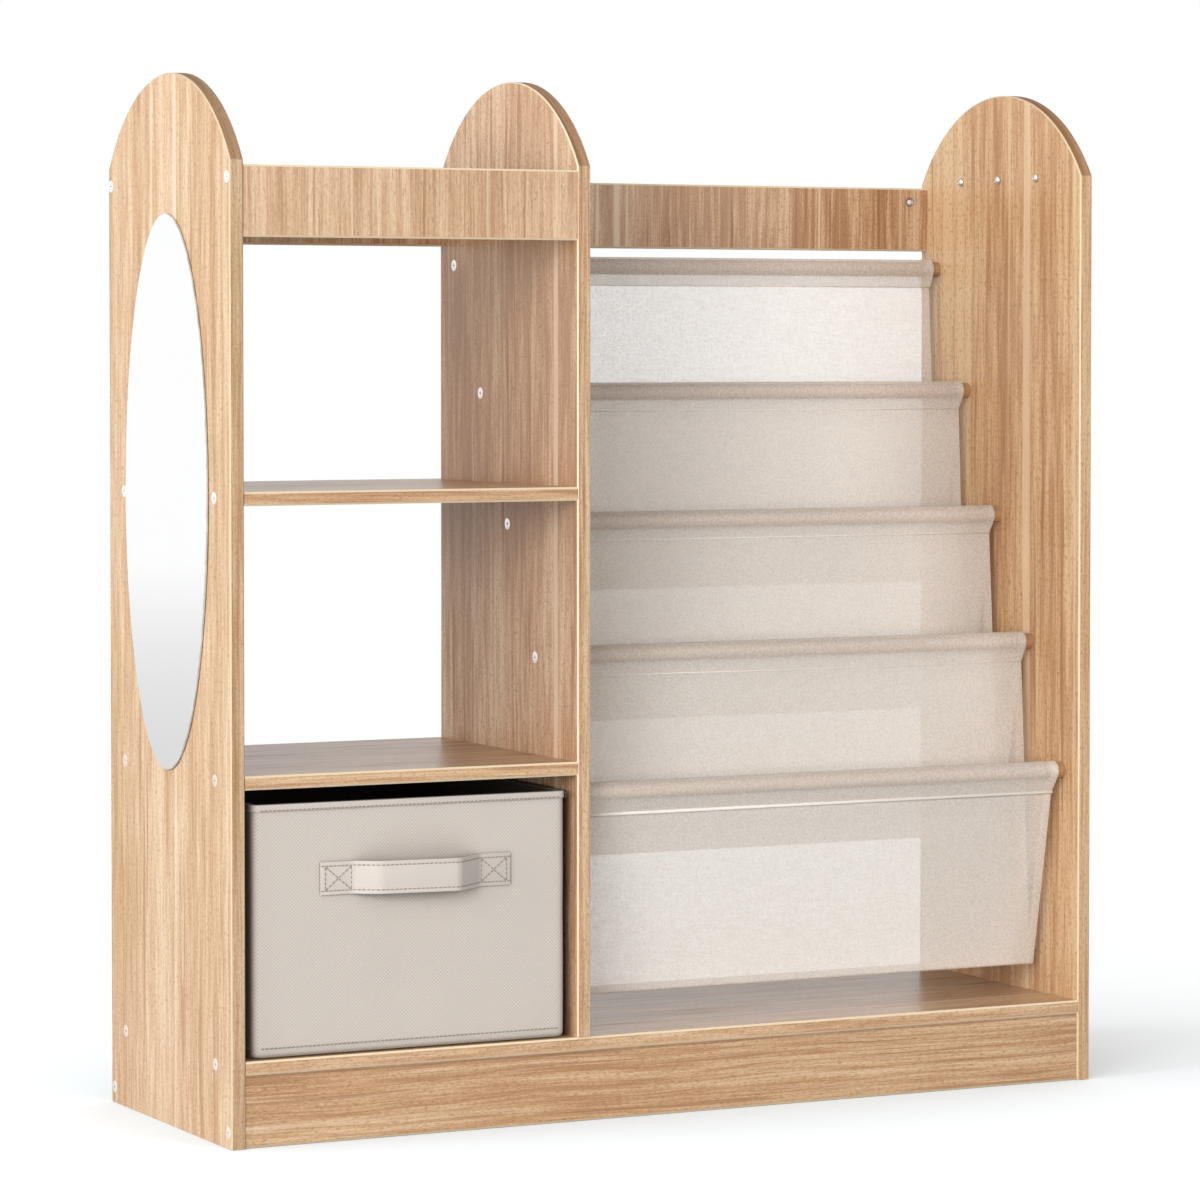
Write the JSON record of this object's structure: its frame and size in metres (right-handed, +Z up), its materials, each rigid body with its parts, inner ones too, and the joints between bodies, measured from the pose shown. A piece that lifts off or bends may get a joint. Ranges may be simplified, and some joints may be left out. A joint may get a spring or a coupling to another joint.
{
  "type": "toy storage organizer",
  "caption": "Open toy organizer with arched uprights, cubbies over a pull-out cloth bin, an oval side mirror, coat pegs and a stepped cloth sling of book pockets.",
  "frame": {"origin": "on the floor, under the middle of the whole box, coat pegs and strap handle included", "axes": "+Z up, -Y to the front where the bin pulls out, +X to the right towards the coat pegs"},
  "size_m": [0.926, 0.309, 0.953],
  "materials": {
    "oak_laminate": "matt wood-grain laminate",
    "rod_wood": "sanded dowel rod",
    "dowel_wood": "fluted beech",
    "peg_wood": "turned and lacquered",
    "zinc_screw": "bright zinc",
    "zinc_cam": "die-cast zinc",
    "mirror": "silvered acrylic",
    "foam_tape": "foam",
    "sling_cloth": "open-weave linen-look cloth",
    "bin_cloth": "coarse woven polyester",
    "bin_lining": "thin non-woven lining",
    "bin_board": "grey board",
    "bin_base": "cloth-covered board",
    "bin_strap": "folded and stitched strap"
  },
  "bodies": {
    "cabinet": {"left_side_panel": "oak_laminate", "centre_divider": "oak_laminate", "right_side_panel": "oak_laminate", "bottom_board": "oak_laminate", "middle_shelf": "oak_laminate", "upper_shelf": "oak_laminate", "front_plinth": "oak_laminate", "rear_plinth": "oak_laminate", "left_front_rail": "oak_laminate", "left_rear_rail": "oak_laminate", "right_rear_rail": "oak_laminate", "left_panel_screws": "zinc_screw", "right_panel_screws": "zinc_screw", "divider_screws": "zinc_screw", "divider_foot_screws": "zinc_screw", "left_rod_screws": "zinc_screw", "right_rod_screws": "zinc_screw", "sling_rod_1": "rod_wood", "sling_rod_2": "rod_wood", "sling_rod_3": "rod_wood", "sling_rod_4": "rod_wood", "sling_rod_5": "rod_wood", "rail_dowels": "dowel_wood", "plinth_dowels": "dowel_wood", "rail_cams": "zinc_cam", "rail_cam_bolts": "zinc_cam", "coat_pegs": "peg_wood", "coat_peg_screws": "zinc_screw", "mirror": "mirror", "mirror_tape": "foam_tape", "book_sling": "sling_cloth"},
    "toy_bin": {"bin_outer_cloth": "bin_cloth", "bin_lining": "bin_lining", "bin_front_board": "bin_board", "bin_back_board": "bin_board", "bin_left_board": "bin_board", "bin_right_board": "bin_board", "bin_base_board": "bin_base", "bin_rim_binding": "bin_cloth", "bin_handle": "bin_strap"}
  },
  "joints": [
    {"name": "bin_slide", "type": "slide", "parent": "cabinet", "child": "toy_bin", "axis": [0, -1, 0], "range_m": [0, 0.29]}
  ]
}
